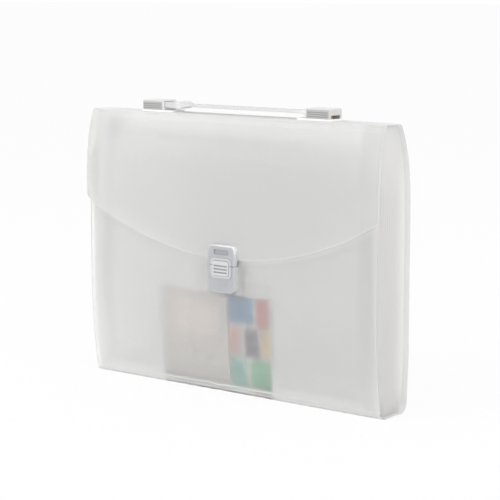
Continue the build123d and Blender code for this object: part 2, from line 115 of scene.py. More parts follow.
print("camera at", [round(v, 3) for v in add_camera().location])

# %% [markdown]
# ## The lines of the case
# Seen from the side, the case is a few curves: the back cover, the flap and the front panel all swell
# out below the top and lean in above the foot. The same curves shaped the CAD model, so they are
# written down here once, and every film below follows them. They are in millimetres, as on a drawing,
# with Y from the front to the back and Z up, and MM turns them into Blender's metres. A line that
# bows has a power, here 2 to 4: the higher it is, the longer the line stays straight.

# %% Side lines of the covers
MM = 0.001
HALF_WIDTH = 165.0
FRONT_HALF_WIDTH = 162.5
FILM = 0.8
CREASE_TOP = 249.6
BOW_START = 165.0
BACK_MIDDLE = 26.5
REAR_CREASE = 11.2
BACK_BOW = 3.0
HEEL_TOP = 48.0
HEEL_LEAN = 2.4
FLAP_MIDDLE = -21.7
FRONT_CREASE = -11.2
FLAP_BOW = 3.6
FRONT_GAP = 2.0
FRONT_TOP = 215.0
FOOT_CREASE = 5.2
LEAN_START = 92.0
FOOT_LEAN = 7.0
FOOT_BOW = 2.0


def rise(value, start, end, power):
    """Nothing up to the start, then growing to one at the end."""
    return max(0.0, (value - start) / (end - start)) ** power


def back_line(z):
    """How far back the middle of the back cover's film lies at a height."""
    bow = (BACK_MIDDLE - REAR_CREASE) * rise(z, BOW_START, CREASE_TOP, BACK_BOW)
    lean = HEEL_LEAN * rise(-z, -HEEL_TOP, 0.0, 1)
    return BACK_MIDDLE - bow - lean


def flap_line(z):
    """The middle of the flap's film at a height."""
    return FLAP_MIDDLE + (FRONT_CREASE - FLAP_MIDDLE) * rise(z, BOW_START, CREASE_TOP, FLAP_BOW)


def front_line(z):
    """The middle of the front panel's film: a gap behind the flap's line, with a lean at the foot."""
    return flap_line(z) + FRONT_GAP + FOOT_LEAN * rise(-z, -LEAN_START, -FOOT_CREASE, FOOT_BOW)


def spaced(start, end, count):
    """Evenly spaced values from the start to the end, both included."""
    return [start + (end - start) * i / count for i in range(count + 1)]


for height in (10, 120, 240):
    print("at", height, "mm: back", round(back_line(height), 1), "front", round(front_line(height), 1))

# %% [markdown]
# ## A film from its side view
# A bent sheet could be a curve with a bevel, or a plane bent by a modifier. Here it is drawn as a
# modeller would trace it: a grid as wide as the case is stood on the first bit of the side view, and
# its last row of edges is extruded from point to point. The points are close together where the film
# turns. Points that fall together are merged, a Solidify modifier gives the film its thickness, and
# a small Bevel takes the edge off.


# %% Round the corners of a side view
NEARLY_STRAIGHT = 89.5
ARC_STEP = 9


def rounded(points, radii):
    """The points with an arc in place of each corner that has a radius."""
    path = [points[0]]
    for before, corner, after, radius in zip(points, points[1:], points[2:], radii):
        here = Vector(corner)
        towards = [(Vector(p) - here).normalized() for p in (before, after)]
        half = towards[0].angle(towards[1]) / 2
        if radius == 0 or half > math.radians(NEARLY_STRAIGHT):
            path.append(tuple(here))
            continue
        reach = radius / math.tan(half)
        middle = here + (towards[0] + towards[1]).normalized() * (radius / math.sin(half))
        start, end = (here + t * reach - middle for t in towards)
        turn = start.angle_signed(end)
        count = max(2, round(abs(math.degrees(turn)) / ARC_STEP))
        for step in range(count + 1):
            angle = -turn * step / count
            spoke = Vector((
                start.x * math.cos(angle) - start.y * math.sin(angle),
                start.x * math.sin(angle) + start.y * math.cos(angle),
            ))
            path.append(tuple(middle + spoke))
    path.append(points[-1])
    return path


# %% Select and trace
SAME_PLACE = 0.001


def start_primitive():
    """Deselects everything, so that the operators only touch what comes next."""
    bpy.ops.object.select_all(action="DESELECT")


def select_points(piece, test):
    """Selects the points whose place, in millimetres, passes the test, and what they fill."""
    bpy.ops.mesh.select_mode(type="VERT")
    bpy.ops.mesh.select_all(action="DESELECT")
    bpy.ops.object.mode_set(mode="OBJECT")
    for point in piece.data.vertices:
        point.select = bool(test(*(point.co / MM)))
    bpy.ops.object.mode_set(mode="EDIT")


def select_faces(piece, test):
    """Selects the faces whose middle, in millimetres, and normal pass the test."""
    bpy.ops.mesh.select_mode(type="FACE")
    bpy.ops.mesh.select_all(action="DESELECT")
    bpy.ops.object.mode_set(mode="OBJECT")
    for face in piece.data.polygons:
        face.select = bool(test(face.center / MM, face.normal))
    bpy.ops.object.mode_set(mode="EDIT")


def traced_film(name, side_view, half_width, columns):
    """One row of faces across the case, extruded along the side view's (y, z) points."""
    start_primitive()
    first, second = (Vector((0, y, z)) * MM for y, z in side_view[:2])
    lean = math.atan2(second.z - first.z, second.y - first.y)
    bpy.ops.mesh.primitive_grid_add(
        x_subdivisions=columns,
        y_subdivisions=1,
        size=1,
        location=(first + second) / 2,
        rotation=(lean, 0, 0),
    )
    piece = bpy.context.object
    piece.name = name
    piece.scale = (2 * half_width * MM, (second - first).length, 1)
    bpy.ops.object.transform_apply(location=True, rotation=True, scale=True)
    bpy.ops.object.mode_set(mode="EDIT")
    y, z = side_view[1]
    select_points(piece, lambda px, py, pz: math.hypot(py - y, pz - z) < SAME_PLACE)
    for (y, z), (next_y, next_z) in zip(side_view[1:], side_view[2:]):
        bpy.ops.mesh.extrude_region_move(
            TRANSFORM_OT_translate={"value": (0, (next_y - y) * MM, (next_z - z) * MM)}
        )
    bpy.ops.object.mode_set(mode="OBJECT")
    return piece


# %% Trim and thicken
SOFT_EDGE = 0.12
EDGE_ANGLE = 60
SMOOTH_ANGLE = 35


def trim(piece, place, outward):
    """Cuts the piece straight through a place in its front view, (x, z), and drops what is outward."""
    bpy.ops.mesh.select_all(action="SELECT")
    bpy.ops.mesh.bisect(
        plane_co=(place[0] * MM, 0, place[1] * MM),
        plane_no=(outward[0], 0, outward[1]),
        clear_outer=True,
    )


def add_modifier(piece, kind, **settings):
    """Adds a modifier, sets it and applies it."""
    modifier = piece.modifiers.new(kind.title(), kind)
    for key, value in settings.items():
        setattr(modifier, key, value)
    bpy.context.view_layer.objects.active = piece
    bpy.ops.object.modifier_apply(modifier=modifier.name)


def thicken(piece, thickness, edge=SOFT_EDGE, merge=0.1):
    """Gives a film its thickness, half to each side, softens its edge and shades it smooth."""
    start_primitive()
    piece.select_set(True)
    bpy.context.view_layer.objects.active = piece
    bpy.ops.object.mode_set(mode="EDIT")
    bpy.ops.mesh.select_all(action="SELECT")
    bpy.ops.mesh.remove_doubles(threshold=merge * MM)
    bpy.ops.mesh.dissolve_degenerate(threshold=merge * MM)
    bpy.ops.mesh.normals_make_consistent(inside=False)
    bpy.ops.object.mode_set(mode="OBJECT")
    add_modifier(piece, "SOLIDIFY", thickness=thickness * MM, offset=0)
    if edge:
        corner = math.radians(EDGE_ANGLE)
        add_modifier(piece, "BEVEL", width=edge * MM, segments=1, limit_method="ANGLE", angle_limit=corner)
    bpy.ops.object.shade_smooth_by_angle(angle=math.radians(SMOOTH_ANGLE))
    print(piece.name, len(piece.data.polygons), "faces")


# %% [markdown]
# ## Back cover, foot and top strip
# On the real case these are one sheet of polypropylene. It starts at the crease above the front foot,
# lies on the table, turns up the back and folds over the top. The rear fold is round, because the
# sheet was only scored there. Where the film is scored, the side view dips by a tenth of a millimetre
# or so, which catches the light as the real lines do.

# %% Trace the back cover
SCORE_DEPTH = 0.12
SCORE_HALF_WIDTH = 0.45
FOOT_SEAM = (-12.2, 3.0)
FOOT_FRONT = -10.4
FOOT_RADIUS = 2.4
HEEL_RADIUS = 9.0
LEAN_RADIUS = 300.0
BACK_UPRIGHT = 70.0
REAR_FOLD = 4.2
REAR_RADIUS = 5.0
SEAM_ROOM = 1.0
STRIP_BACK = 6.6
STRIP_END = -8.6
STRIP_SCORES = (-6.0, 5.6)
COLUMNS = 12


def dipped(places, line, inward, scores):
    """Points on a line at the places, and three more at each score, the middle one moved inward."""
    points = [(place, 0.0) for place in places if all(abs(place - s) > SCORE_HALF_WIDTH for s in scores)]
    for score in scores:
        points += [(score - SCORE_HALF_WIDTH, 0.0), (score + SCORE_HALF_WIDTH, 0.0)]
        points.append((score, inward * SCORE_DEPTH))
    return [(line(place) + dip, place) for place, dip in sorted(points)]


strip_points = dipped(spaced(STRIP_END, STRIP_BACK, 6), lambda y: CREASE_TOP, -1, STRIP_SCORES)
bow_points = [(back_line(z), z) for z in spaced(BOW_START, CREASE_TOP - REAR_FOLD, 14)]
back_view = rounded(
    [
        FOOT_SEAM,
        (FOOT_FRONT, FILM / 2),
        (back_line(0.0), FILM / 2),
        (back_line(HEEL_TOP), HEEL_TOP),
        (BACK_MIDDLE, BACK_UPRIGHT),
        *bow_points,
        (REAR_CREASE, CREASE_TOP),
        *[(y, z) for z, y in reversed(strip_points)],
    ],
    [
        FOOT_RADIUS,
        HEEL_RADIUS,
        LEAN_RADIUS,
        0.0,
        *[0.0] * len(bow_points),
        REAR_RADIUS,
        *[0.0] * len(strip_points),
    ],
)
cover_back = traced_film("cover_back", back_view, HALF_WIDTH, COLUMNS)
bpy.ops.object.mode_set(mode="EDIT")
select_points(cover_back, lambda x, y, z: y < FOOT_FRONT + SEAM_ROOM and z < FOOT_SEAM[1] + SEAM_ROOM)
bpy.ops.transform.resize(value=(FRONT_HALF_WIDTH / HALF_WIDTH, 1, 1), center_override=(0, 0, 0))
bpy.ops.object.mode_set(mode="OBJECT")
thicken(cover_back, FILM)
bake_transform(cover_back)
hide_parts("back_panel", "top_strip")

# %% [markdown]
# ## Flap
# The flap hangs from the front fold and ends in one shallow arc with rounded corners. Its outline is
# convex, so it can be cut as with a paper trimmer: the sheet is traced too long, and straight cuts
# (the Bisect tool) that touch the arc drop what hangs over. Three score lines run under the front fold.

# %% Trace and trim the flap
FLAP_LOW = 123.5
FLAP_SIDE = 168.0
FLAP_CORNER = 6.0
FRONT_FOLD = 2.2
FOLD_SCORES = (243.6, 245.1, 246.6)
ARC_CUTS = 28
CORNER_CUTS = 6
TOO_LONG = 2

flap_points = dipped(spaced(BOW_START, CREASE_TOP - FRONT_FOLD, 16), flap_line, 1, FOLD_SCORES)
flap_view = rounded(
    [
        (STRIP_END, CREASE_TOP),
        (FRONT_CREASE, CREASE_TOP),
        *reversed(flap_points),
        (FLAP_MIDDLE, FLAP_LOW - TOO_LONG),
    ],
    [FRONT_FOLD] + [0.0] * len(flap_points),
)
cover_flap = traced_film("cover_flap", flap_view, HALF_WIDTH, COLUMNS)

sag = FLAP_SIDE - FLAP_LOW
arc_radius = (HALF_WIDTH**2 + sag**2) / (2 * sag)
corner_middle_x = HALF_WIDTH - FLAP_CORNER
corner_middle_z = FLAP_LOW + arc_radius - math.sqrt((arc_radius - FLAP_CORNER) ** 2 - corner_middle_x**2)
corner_turn = math.degrees(math.asin(corner_middle_x / (arc_radius - FLAP_CORNER)))

bpy.ops.object.mode_set(mode="EDIT")
for turn in spaced(-corner_turn, corner_turn, ARC_CUTS):
    outward = (math.sin(math.radians(turn)), -math.cos(math.radians(turn)))
    trim(cover_flap, (outward[0] * arc_radius, FLAP_LOW + arc_radius + outward[1] * arc_radius), outward)
for side in (-1, 1):
    for turn in spaced(corner_turn, 90.0, CORNER_CUTS)[1:-1]:
        outward = (side * math.sin(math.radians(turn)), -math.cos(math.radians(turn)))
        corner_x = side * corner_middle_x + outward[0] * FLAP_CORNER
        trim(cover_flap, (corner_x, corner_middle_z + outward[1] * FLAP_CORNER), outward)
bpy.ops.object.mode_set(mode="OBJECT")
thicken(cover_flap, FILM)
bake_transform(cover_flap)
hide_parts("flap_panel")

# %% [markdown]
# ## Front panel
# The front panel stands on the crease at the foot and leans out with the bellows when the case is
# filled. It is a little narrower than the back cover and has rounded top corners, hidden by the flap.
# It turns on the seam where the foot ends, and a score line runs just above. It is cut as the flap is.

# %% Trace and trim the front panel
FRONT_CORNER = 8.0
FOOT_CORNER = 3.0
FOOT_SCORE = 6.3
FOOT_FOLD = 2.0
PANEL_START = 7.4

front_heights = spaced(PANEL_START, LEAN_START, 12) + spaced(BOW_START, FRONT_TOP, 8)
front_points = dipped(front_heights, front_line, 1, (FOOT_SCORE,))
front_view = rounded(
    [FOOT_SEAM, (front_line(FOOT_CREASE), FOOT_CREASE), *front_points],
    [FOOT_FOLD] + [0.0] * len(front_points),
)
cover_front = traced_film("cover_front", front_view, FRONT_HALF_WIDTH, COLUMNS)
bpy.ops.object.mode_set(mode="EDIT")
for side in (-1, 1):
    for turn in spaced(0.0, 90.0, CORNER_CUTS)[1:-1]:
        across, up = math.cos(math.radians(turn)), math.sin(math.radians(turn))
        top_x = side * (FRONT_HALF_WIDTH - FRONT_CORNER * (1 - across))
        trim(cover_front, (top_x, FRONT_TOP - FRONT_CORNER * (1 - up)), (side * across, up))
        foot_x = side * (FRONT_HALF_WIDTH - FOOT_CORNER * (1 - across))
        trim(cover_front, (foot_x, FOOT_SEAM[1] + FOOT_CORNER * (1 - up)), (side * across, -up))
bpy.ops.object.mode_set(mode="OBJECT")
thicken(cover_front, FILM)
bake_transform(cover_front)
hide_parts("front_panel")

# %% [markdown]
# ## Bellows
# The bellows is one strip of thin film, pleated like an accordion, that runs down one side, under the
# pockets and up the other side. Folding it by hand would take hundreds of moves, so the flat strip is
# a grid with one column of points for each fold, and each point is then put where its fold lies. All
# folds share the depth between the covers evenly. At the top the rear folds are tucked in a little, to
# stay under the round rear fold of the cover. At the foot the strip turns through a mitre, and the
# folds next to the covers ride up over their round foot, where the first and last strips lie flat on
# the covers. The folds are beveled, because a folded film is never sharp.

# %% Where each fold lies
POCKETS = 13
FOLDS = 2 * POCKETS
PLEAT_DEPTH = 12.0
BELLOWS_EDGE = 161.0
BELLOWS_TOP = 248.6
TUCK_START = 245.0
TOP_TUCK = 1.1
BELLOWS_FOOT = 0.6
BELLOWS_KNEE = 24.0
BELLOWS_FLOOR = 13.3
BELLOWS_FILM = 0.4
CLEARANCE = 0.3
OUTER_FOLD = 0.5
INNER_FOLD = PLEAT_DEPTH - 0.9
FOLD_BEVEL = 0.45
FOLD_ANGLE = 120
WELD_RISE = 3.2
BACK_LIFT = 3.6
FRONT_LIFT = 1.0
BACK_INSET = 2.4
FRONT_INSET = 1.9


def fold_line(share, z):
    """Where a fold lies from back (share 0) to front (share 1) at a height."""
    back = back_line(z) - FILM / 2 - CLEARANCE - TOP_TUCK * rise(z, TUCK_START, BELLOWS_TOP, 2)
    front = front_line(z) + FILM / 2 + CLEARANCE
    return back + share * (front - back)


def lift(share):
    """How much higher a fold runs over the round foot of the covers, which is rounder at the back."""
    return (BACK_LIFT if share < 0.5 else FRONT_LIFT) * abs(2 * share - 1) ** 4


def foot_fold_line(share, deep):
    """The fold's place under the pockets, at a depth in from the outer folds."""
    back = back_line(0.0) - BACK_INSET
    front = front_line(FOOT_CREASE) + FRONT_INSET
    foot = back + share * (front - back)
    high = fold_line(share, BELLOWS_FLOOR + lift(share))
    return foot + (high - foot) * deep / PLEAT_DEPTH


def fold_point(row, share, deep):
    """The (x, y, z) of a fold on a row of the strip; a row without a height lies under the pockets."""
    side, z = row
    x = side * (BELLOWS_EDGE - deep)
    if z is not None:
        return x, fold_line(share, z), z
    if share in (0, 1):
        return x, foot_fold_line(share, OUTER_FOLD), BELLOWS_FOOT + WELD_RISE
    return x, foot_fold_line(share, deep), BELLOWS_FOOT + deep + lift(share)


print(FOLDS, "folds, the middle one at", round(fold_line(0.5, BOW_START), 1), "mm")

# %% Lay the strip out and fold it
side_heights = spaced(BELLOWS_KNEE, LEAN_START, 5)
side_heights += spaced(LEAN_START, BOW_START, 2)[1:]
side_heights += spaced(BOW_START, BELLOWS_TOP, 9)[1:]
strip_rows = [(1, z) for z in reversed(side_heights)]
strip_rows += [(side, None) for side in (1, 0, -1)]
strip_rows += [(-1, z) for z in side_heights]

start_primitive()
bpy.ops.mesh.primitive_grid_add(x_subdivisions=FOLDS, y_subdivisions=len(strip_rows) - 1, size=1)
bellows_strip = bpy.context.object
bellows_strip.name = "bellows_strip"
places = []
for row in strip_rows:
    for fold in range(FOLDS + 1):
        deep = OUTER_FOLD if fold % 2 else INNER_FOLD
        places.append(Vector(fold_point(row, fold / FOLDS, deep)) * MM)
bellows_strip.data.vertices.foreach_set("co", [c for place in places for c in place])
bellows_strip.data.update()
bpy.context.view_layer.objects.active = bellows_strip
add_modifier(
    bellows_strip,
    "BEVEL",
    width=FOLD_BEVEL * MM,
    segments=2,
    limit_method="ANGLE",
    angle_limit=math.radians(FOLD_ANGLE),
)
thicken(bellows_strip, BELLOWS_FILM, edge=0, merge=0.001)
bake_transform(bellows_strip)
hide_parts("bellows")

# %% [markdown]
# ## Leaf spring
# Behind the push button sits a bowed leaf of spring steel. A bow is part of a circle, so one upright
# edge of a plane is spun around the circle's centre.

# %% Spin the leaf spring
LEAF_END = 6.0
LEAF_WIDTH = 5.0
LEAF_SHEET = 0.2
LEAF_HEIGHT = 112.65
LEAF_FOOT = -20.22
LEAF_CROWN = -22.88
LEAF_STEPS = 16

bow = LEAF_FOOT - LEAF_CROWN
bow_radius = (LEAF_END**2 + bow**2) / (2 * bow)
bow_half_angle = math.asin(LEAF_END / bow_radius)
start_primitive()
bpy.ops.mesh.primitive_plane_add(
    size=LEAF_WIDTH * MM,
    location=((-LEAF_END - LEAF_WIDTH / 2) * MM, LEAF_FOOT * MM, LEAF_HEIGHT * MM),
    rotation=(math.radians(90), 0, 0),
)
leaf_spring = bpy.context.object
leaf_spring.name = "leaf_spring"
bpy.ops.object.transform_apply(location=True, rotation=True, scale=True)
bpy.ops.object.mode_set(mode="EDIT")
select_points(leaf_spring, lambda x, y, z: x < -LEAF_END - LEAF_WIDTH / 2)
bpy.ops.mesh.delete(type="VERT")
bpy.ops.mesh.select_all(action="SELECT")
bpy.ops.mesh.spin(
    steps=LEAF_STEPS,
    angle=2 * bow_half_angle,
    center=(0, (LEAF_CROWN + bow_radius) * MM, 0),
    axis=(0, 0, -1),
)
bpy.ops.object.mode_set(mode="OBJECT")
thicken(leaf_spring, LEAF_SHEET, edge=0.04, merge=0.01)
print("leaf spring", [round(v / MM, 2) for v in leaf_spring.dimensions], "mm")
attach(leaf_spring, "front")
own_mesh(leaf_spring)
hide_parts("latch_spring")

# %% [markdown]
# ## Shader maths
# Node trees are easier to read as arithmetic. A Wire holds one output socket, and adding or
# multiplying wires adds Math nodes. Every other node comes from one method, make.


# %% A wire for shader sockets
class Wire:
    """An output socket of a material's node tree."""

    def __init__(self, tree, socket=None):
        self.tree = tree
        self.socket = socket

    def make(self, kind, settings=None, sockets=None, out=0):
        """Adds a node, sets it up, feeds its sockets and returns one of its outputs."""
        node = self.tree.nodes.new("ShaderNode" + kind)
        for key, value in (settings or {}).items():
            setattr(node, key, value)
        for key, value in (sockets or {}).items():
            if isinstance(value, Wire):
                self.tree.links.new(value.socket, node.inputs[key])
            else:
                node.inputs[key].default_value = value
        return Wire(self.tree, node.outputs[out] if len(node.outputs) else None)

    def math(self, operation, *values):
        """One Math node."""
        return self.make("Math", {"operation": operation}, dict(enumerate(values)))

    def __add__(self, other):
        return self.math("ADD", self, other)

    def __sub__(self, other):
        return self.math("SUBTRACT", self, other)

    def __rsub__(self, other):
        return self.math("SUBTRACT", other, self)

    def __mul__(self, other):
        return self.math("MULTIPLY", self, other)

    def __truediv__(self, other):
        return self.math("DIVIDE", self, other)

    __radd__ = __add__
    __rmul__ = __mul__

    def absolute(self):
        """The value without its sign."""
        return self.math("ABSOLUTE", self)

    def root(self):
        """The square root."""
        return self.math("SQRT", self)

    def larger(self, other):
        """The larger of two values."""
        return self.math("MAXIMUM", self, other)

    def step(self, low, high):
        """0 below low, 1 above high, smooth between."""
        sockets = {"Value": self, "From Min": low, "From Max": high}
        return self.make("MapRange", {"interpolation_type": "SMOOTHSTEP"}, sockets)

    def within(self, low, high, soft):
        """1 between low and high, fading to 0 outside."""
        return self.step(low - soft, low) * (1 - self.step(high, high + soft))

    def line(self, place, half_width):
        """1 on a line across this coordinate, fading to 0 half a width away."""
        return 1 - (self - place).absolute().step(half_width * 0.3, half_width)


# %% Helpers for materials
def start_material(name):
    """A new material with an empty tree, the wire that starts it and its object coordinates."""
    material = bpy.data.materials.new(name)
    material.use_nodes = True
    material.node_tree.nodes.clear()
    wire = Wire(material.node_tree)
    place = wire.make("TexCoord", out="Object")
    return material, wire, place


def millimetres(wire, place):
    """The object coordinates X, Y and Z as three wires, in millimetres."""
    return [wire.make("SeparateXYZ", None, {"Vector": place}, axis) / MM for axis in "XYZ"]


def noise(wire, place, scale, detail=2.0):
    """Noise between 0 and 1, scale being the number of bumps in a metre."""
    return wire.make("TexNoise", None, {"Vector": place, "Scale": scale, "Detail": detail})


def mix_colour(wire, factor, low, high):
    """A blend of two colours. The colour sockets of a Mix node are its inputs 6 and 7 and its output 2."""
    return wire.make("Mix", {"data_type": "RGBA"}, {0: factor, 6: low, 7: high}, 2)


def make_bump(wire, height, distance):
    """A normal bent by a height, distance being what a height of 1 stands for in metres."""
    return wire.make("Bump", None, {"Height": height, "Distance": distance, "Strength": 1.0})


def finish_material(wire, shader):
    """Joins the finished shader to the output."""
    wire.make("OutputMaterial", None, {"Surface": shader})


def strongest(marks):
    """The strongest of several marks."""
    total = marks[0]
    for mark in marks[1:]:
        total = total.larger(mark)
    return total


# %% [markdown]
# ## Frosted film
# Frosted polypropylene is clear inside and matt outside: part of the light goes through and is
# scattered, so things close behind it show as soft shapes. Two Principled shaders, one matt and one
# that lets light through, are mixed to get this. A fine grain and slow waves go into the bump. Each
# film has a marks function, which says at each point how white it is, how shaded, and how well one
# sees through. White marks are partly whitening and partly painted light, and shaded marks are
# painted shade and darker tones. White film lets less light through.


# %% Frosted film
SHADED = (0.80, 0.80, 0.79)
FILM_IOR = 1.15
FILM_GRAIN = 2600.0
FILM_CLOUDS = 18.0
FILM_WAVES = 9.0
WHITENING_AND_PAINTED_LIGHT = 0.7
WHITE_BLOCKS = 0.75


def frosted_film(name, pale, deep, clearness, roughness, marks_of):
    """Film whose marks_of(x, y, z) gives how white and how shaded it is, and a factor on clearness."""
    material, wire, place = start_material(name)
    white, shade, sight = marks_of(*millimetres(wire, place))
    grain = noise(wire, place, FILM_GRAIN, 1.0)
    height = grain * 0.02 + noise(wire, place, FILM_WAVES, 1.0) * 0.6 - white * 0.06
    colour = mix_colour(wire, noise(wire, place, FILM_CLOUDS), (*deep, 1), (*pale, 1))
    # Painted shade is mixed in first, then whitening and painted light.
    colour = mix_colour(wire, shade, colour, (*SHADED, 1))
    colour = mix_colour(wire, white * WHITENING_AND_PAINTED_LIGHT, colour, (1, 1, 1, 1))
    sockets = {
        "Base Color": colour,
        "Roughness": roughness + grain * 0.08,
        "IOR": FILM_IOR,
        "Normal": make_bump(wire, height, 0.001),
    }
    matt = wire.make("BsdfPrincipled", None, sockets)
    clear = wire.make("BsdfPrincipled", None, {**sockets, "Transmission Weight": 1.0})
    share = sight * clearness * (1 - white * WHITE_BLOCKS)
    finish_material(wire, wire.make("MixShader", None, {0: share, 1: matt, 2: clear}))
    return material


# %% [markdown]
# ## White marks and painted light on the covers
# Polypropylene whitens where it is scored or folded. The other pale marks are painted light: over the
# top strip, on the foot, on the back cover's upright rims and on the film beside the latch. Each mark
# below is a place in millimetres times a strength from 0 to 1. The pale band beside the flap's edge is
# painted light too, for light that the edge sends into the front panel.

# %% White marks and painted light on the covers
SCORE_LINE = 0.6
FOOT_HEIGHT = 5.0
FOOT_FADE = 40.0
BACK_RIM = 159.0
BAND_WIDTH = 6.0
LATCH_LOW = 93.4
LATCH_TOP = 136.4
LATCH_HALF_WIDTH = 15.5


def score_whitening_and_painted_strip_light(y, z):
    """White lines where the film is scored, and painted light over the whole top strip."""
    marks = [z.line(height, SCORE_LINE) * 0.6 for height in (FOOT_SEAM[1], FOOT_SCORE)]
    marks += [z.line(height, SCORE_LINE) * 0.3 for height in FOLD_SCORES]
    near_top = z.step(CREASE_TOP - 4.6, CREASE_TOP - 1.6)
    marks += [y.line(place, SCORE_LINE) * near_top for place in STRIP_SCORES]
    marks.append(z.step(CREASE_TOP - 1.1, CREASE_TOP - 0.4) * 0.2)
    # Painted light over the whole top strip.
    marks.append(z.step(CREASE_TOP - 0.2, CREASE_TOP + 0.3) * 0.8)
    return marks


def painted_foot_light(x, z, papers):
    """Painted light on the foot, where it turns down into the floor's shade, more at the bottom left, and
    less where the papers stand behind it.
    """
    bend = (1 - z.step(FOOT_SEAM[1], FOOT_HEIGHT)) * 0.6
    above = (1 - z.step(FOOT_HEIGHT, FOOT_FADE)) * 0.25
    # More painted light at the bottom left.
    left = (1 - x.step(-150.0, -50.0)) * (1 - z.step(30.0, 120.0)) * 0.3
    return [bend.larger(above) * (1 - papers), left]


def painted_rim_highlight(side, y):
    """Painted highlight on the back cover's upright rims."""
    return side.step(BACK_RIM, BACK_RIM + 3.5) * y.step(0.0, 10.0) * 0.9


def band_mark(x, z):
    """A band along the outside of the flap's arc, brighter at the right."""
    up = z - (FLAP_LOW + arc_radius)
    beyond = (x * x + up * up).root() - arc_radius
    band = beyond.step(-0.8, 0.2) * (1 - beyond.step(0.5, BAND_WIDTH))
    return band * (x.step(-120.0, 60.0) * 0.28 + 0.20)


def painted_light_beside_latch(x, z):
    """Painted light on the film at the latch's right side, lifting the shade that the latch casts there."""
    across = x.within(LATCH_HALF_WIDTH - 1.5, LATCH_HALF_WIDTH + 1.0, 4.0)
    return across * z.within(LATCH_LOW + 1.6, LATCH_TOP - 2.4, 4.0) * 0.4


# %% [markdown]
# ## Painted shade on the covers
# The bellows is welded to the covers in a band along each side, with fine upright lines; the band is
# matt and carries painted shade, darker at the front right. Painted shade greys the film towards the
# middle right, for the light that the pockets and their contents hold back, which the even light of the
# scene would not show. The front panel's cut sides, which face the fill lamp, get painted shade too.
# The film is also darker near the foot, at the flap's top left, just above the labels and in front of
# the foot of the papers. Where the leaflet and the labels touch the front panel, one sees through it
# better.

# %% Painted shade on the covers
FRONT_ENDS = -10.0
BACK_STARTS = -2.0
PAPERS_LEFT = -73.0
PAPERS_RIGHT = 46.0
PAPERS_TOP = 89.5
WELD_START = 147.5
WELD_SOFT = 9.0
WELD_LINES = 2.6
EDGE_START = 161.2


def weld_lines_and_painted_shade(x, side, z, front):
    """Painted shade in the welded bands, darker at the front right, broken by the weld's fine lines."""
    lines = side * WELD_LINES
    stripes = lines.math("SINE", lines) * 0.5 + 0.5
    right = x.step(-100.0, 100.0) * (z.step(20.0, 90.0) * 0.25 + 0.20)
    return ((right + 0.10) * front + 0.08) * (1 - stripes * 0.2)


def painted_contents_shade(x):
    """Painted shade for the light that what stands in the pockets holds back, most of all in the middle
    right.
    """
    return x.step(-170.0, 30.0) * (1 - x.step(60.0, 150.0) * 0.3) * 0.32


def cover_marks(x, y, z):
    """White scores and folds with painted light, painted shade from welds and contents, clear where the
    papers touch the film.
    """
    side = x.absolute()
    front = 1 - y.step(FRONT_ENDS, BACK_STARTS)
    papers = x.within(PAPERS_LEFT, PAPERS_RIGHT, 6.0) * front
    touched = papers * (1 - z.step(PAPERS_TOP, PAPERS_TOP + 4.0))
    white = [*score_whitening_and_painted_strip_light(y, z), *painted_foot_light(x, z, papers), painted_rim_highlight(side, y)]
    white += [band_mark(x, z) * front, painted_light_beside_latch(x, z) * front]
    weld = side.step(WELD_START - WELD_SOFT, WELD_START)
    foot = (1 - z.step(10.0, 22.0)) * (1 - touched) * front
    flap_left = (1 - x.step(-HALF_WIDTH, 25.0 - HALF_WIDTH)) * z.step(130.0, 200.0) * front
    above_labels = x.within(20.0, 48.0, 6.0) * z.within(94.0, 102.0, 6.0) * front
    below_papers = papers * (1 - z.step(8.0, 15.0))
    # Painted shade from the welds and the contents, and darker tones near the foot, above the labels, at
    # the flap's top left and in front of the papers' foot.
    shade = (weld * weld_lines_and_painted_shade(x, side, z, front)).larger(foot * 0.2) + painted_contents_shade(x)
    shade = shade + above_labels * 0.25 + flap_left * 0.7 + below_papers * 0.4
    # Painted shade on the front panel's cut sides, which face the fill lamp.
    painted_shade_on_cut_sides = side.step(EDGE_START, EDGE_START + 0.5) * front
    matted = (weld * (1 - flap_left)).larger(foot)
    return strongest(white), shade.larger(painted_shade_on_cut_sides), 1 + touched * 0.12 - matted * 0.25


# %% [markdown]
# ## Marks on the other films
# The bellows is white on its outer folds, partly whitening and partly painted highlight, has painted
# light at its top, its foot and its rear pleats, and painted shade down in the pleats. The dividers'
# tabs are clearer than their sheets. The flap's cut edge catches the light, so its faces get a film of
# their own, which is paler and hardly clear.

# %% The films
PLEAT_TIP = 160.6
TAB_START = 216.0


def pleat_whitening_and_painted_light(x, y, z):
    """White outer folds, partly whitening and partly painted highlight, painted light at the top, the foot
    and the rear, and painted shade down in the pleats.
    """
    side = x.absolute()
    # Painted light at the top, at the foot and over the rear pleats.
    ends = [z.step(170.0, 250.0) * 0.5, (1 - z.step(4.0, 24.0)) * 0.6, y.step(8.0, 26.0) * 0.8]
    # White outer folds: whitening with a painted highlight.
    white = strongest([side.step(PLEAT_TIP - 0.9, PLEAT_TIP) * 0.7, *ends])
    # Painted shade down in the pleats, between the foot and the top.
    deep = 1 - side.step(PLEAT_TIP - 5.1, PLEAT_TIP - 0.6)
    return white, deep * z.within(30.0, 170.0, 30.0), x * 0.0 + 1


def tab_marks(x, y, z):
    """The dividers' tabs are clearer than their sheets."""
    nothing = x * 0.0
    return nothing, nothing, z.step(TAB_START, TAB_START + 6.0) * 0.5 + 1


def plain_marks(x, y, z):
    """No marks at all."""
    nothing = x * 0.0
    return nothing, nothing, nothing + 1


